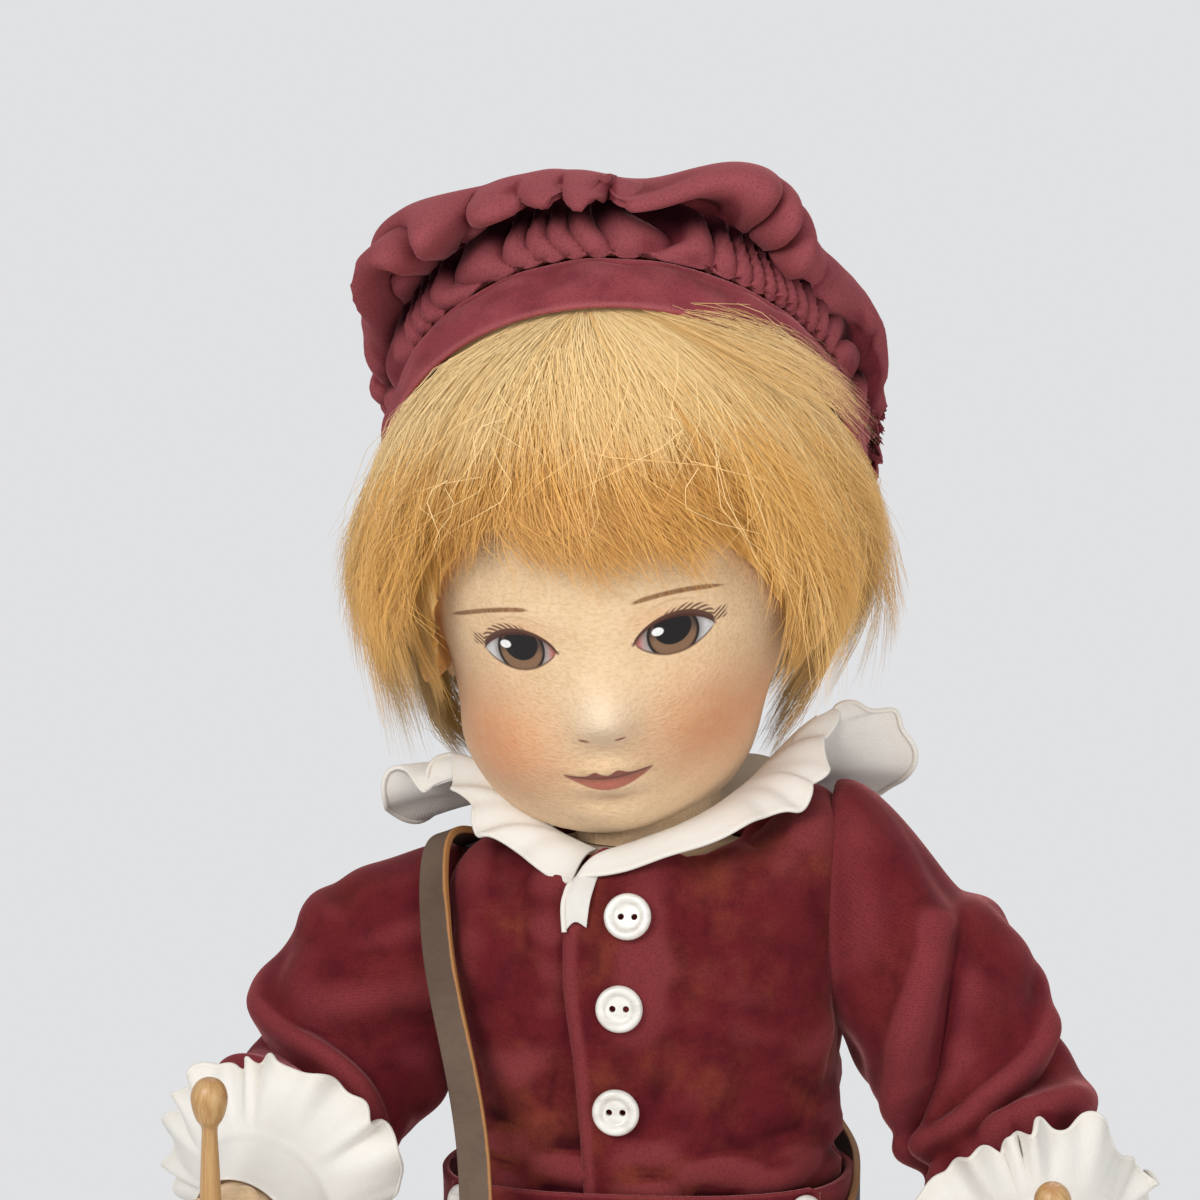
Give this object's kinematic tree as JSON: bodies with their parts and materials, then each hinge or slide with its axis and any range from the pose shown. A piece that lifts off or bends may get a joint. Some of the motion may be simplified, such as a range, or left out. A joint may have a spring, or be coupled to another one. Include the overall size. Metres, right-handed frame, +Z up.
{
  "type": "felt doll",
  "caption": "Jointed felt doll dressed as a drummer boy: painted face, mohair wig, velvet cap and suit, frilled collar and cuffs, drum on a leather strap.",
  "frame": {"origin": "centre of the bounding box at the plane of the soles", "axes": "+Z up; the doll faces -Y and its left side is +X"},
  "size_m": [0.1996, 0.1648, 0.4377],
  "materials": {
    "felt_skin": "pressed wool felt, painted on the face",
    "felt_body": "plain wool felt",
    "mohair": "golden mohair, brushed",
    "velvet": "cotton velvet, worn nap",
    "cotton": "plain cotton lawn",
    "pearl": "polished shell",
    "strap_leather": "worn leather with raw edges",
    "shoe_leather": "soft leather",
    "beech": "waxed beech",
    "hardboard": "bare hardboard",
    "steel": "plain steel",
    "brass": "dull brass",
    "drum_paint": "painted wood",
    "drum_skin": "thin parchment",
    "lace_cord": "twisted cotton cord"
  },
  "bodies": {
    "body": {"torso": "felt_body", "jacket_back": "velvet", "jacket_right_front": "velvet", "jacket_left_front": "velvet", "jacket_button_1": "pearl", "jacket_button_2": "pearl", "jacket_button_3": "pearl", "left_waist_button": "pearl", "right_waist_button": "pearl", "collar_frill": "cotton", "trouser_top": "velvet", "shoulder_strap": "strap_leather", "neck_body_disc": "hardboard", "neck_pin": "steel", "left_shoulder_body_disc": "hardboard", "left_shoulder_pin": "steel", "left_hip_body_disc": "hardboard", "left_hip_pin": "steel", "right_shoulder_body_disc": "hardboard", "right_shoulder_pin": "steel", "right_hip_body_disc": "hardboard", "right_hip_pin": "steel"},
    "head": {"head": "felt_skin", "left_ear": "felt_skin", "right_ear": "felt_skin", "wig": "mohair", "cap_band": "velvet", "cap_crown": "velvet", "neck": "felt_skin", "neck_head_disc": "hardboard"},
    "left_arm": {"left_arm": "felt_skin", "left_hand": "felt_skin", "left_sleeve": "velvet", "left_cuff": "cotton", "left_shoulder_arm_disc": "hardboard", "left_drumstick": "beech"},
    "right_arm": {"right_arm": "felt_skin", "right_hand": "felt_skin", "right_sleeve": "velvet", "right_cuff": "cotton", "right_shoulder_arm_disc": "hardboard", "right_drumstick": "beech"},
    "left_leg": {"left_leg": "felt_body", "left_trouser_leg": "velvet", "left_shoe_upper": "shoe_leather", "left_shoe_sole": "shoe_leather", "left_hip_leg_disc": "hardboard"},
    "right_leg": {"right_leg": "felt_body", "right_trouser_leg": "velvet", "right_shoe_upper": "shoe_leather", "right_shoe_sole": "shoe_leather", "right_hip_leg_disc": "hardboard"},
    "drum": {"drum_shell": "drum_paint", "drum_top_skin": "drum_skin", "drum_bottom_skin": "drum_skin", "drum_top_hoop": "beech", "drum_bottom_hoop": "beech", "drum_lacing": "lace_cord", "left_strap_ring": "brass", "right_strap_ring": "brass"}
  },
  "joints": [
    {"name": "head_turn", "type": "hinge", "parent": "body", "child": "head", "pos_m": [-0.0031, 0.0073, 0.3], "axis": [0, 0, 1], "range_deg": [-40, 40]},
    {"name": "left_shoulder", "type": "hinge", "parent": "body", "child": "left_arm", "pos_m": [0.0354, 0.0073, 0.282], "axis": [1, 0, 0], "range_deg": [-101, 34]},
    {"name": "right_shoulder", "type": "hinge", "parent": "body", "child": "right_arm", "pos_m": [-0.0416, 0.0073, 0.282], "axis": [1, 0, 0], "range_deg": [-81, 54]},
    {"name": "left_hip", "type": "hinge", "parent": "body", "child": "left_leg", "pos_m": [0.0059, 0.0073, 0.19], "axis": [1, 0, 0], "range_deg": [-30, 25]},
    {"name": "right_hip", "type": "hinge", "parent": "body", "child": "right_leg", "pos_m": [-0.0121, 0.0073, 0.19], "axis": [1, 0, 0], "range_deg": [-30, 25]},
    {"name": "drum_swing", "type": "hinge", "parent": "body", "child": "drum", "pos_m": [0.0039, -0.0555, 0.21], "axis": [1, 0, 0], "range_deg": [-22, 3]}
  ]
}
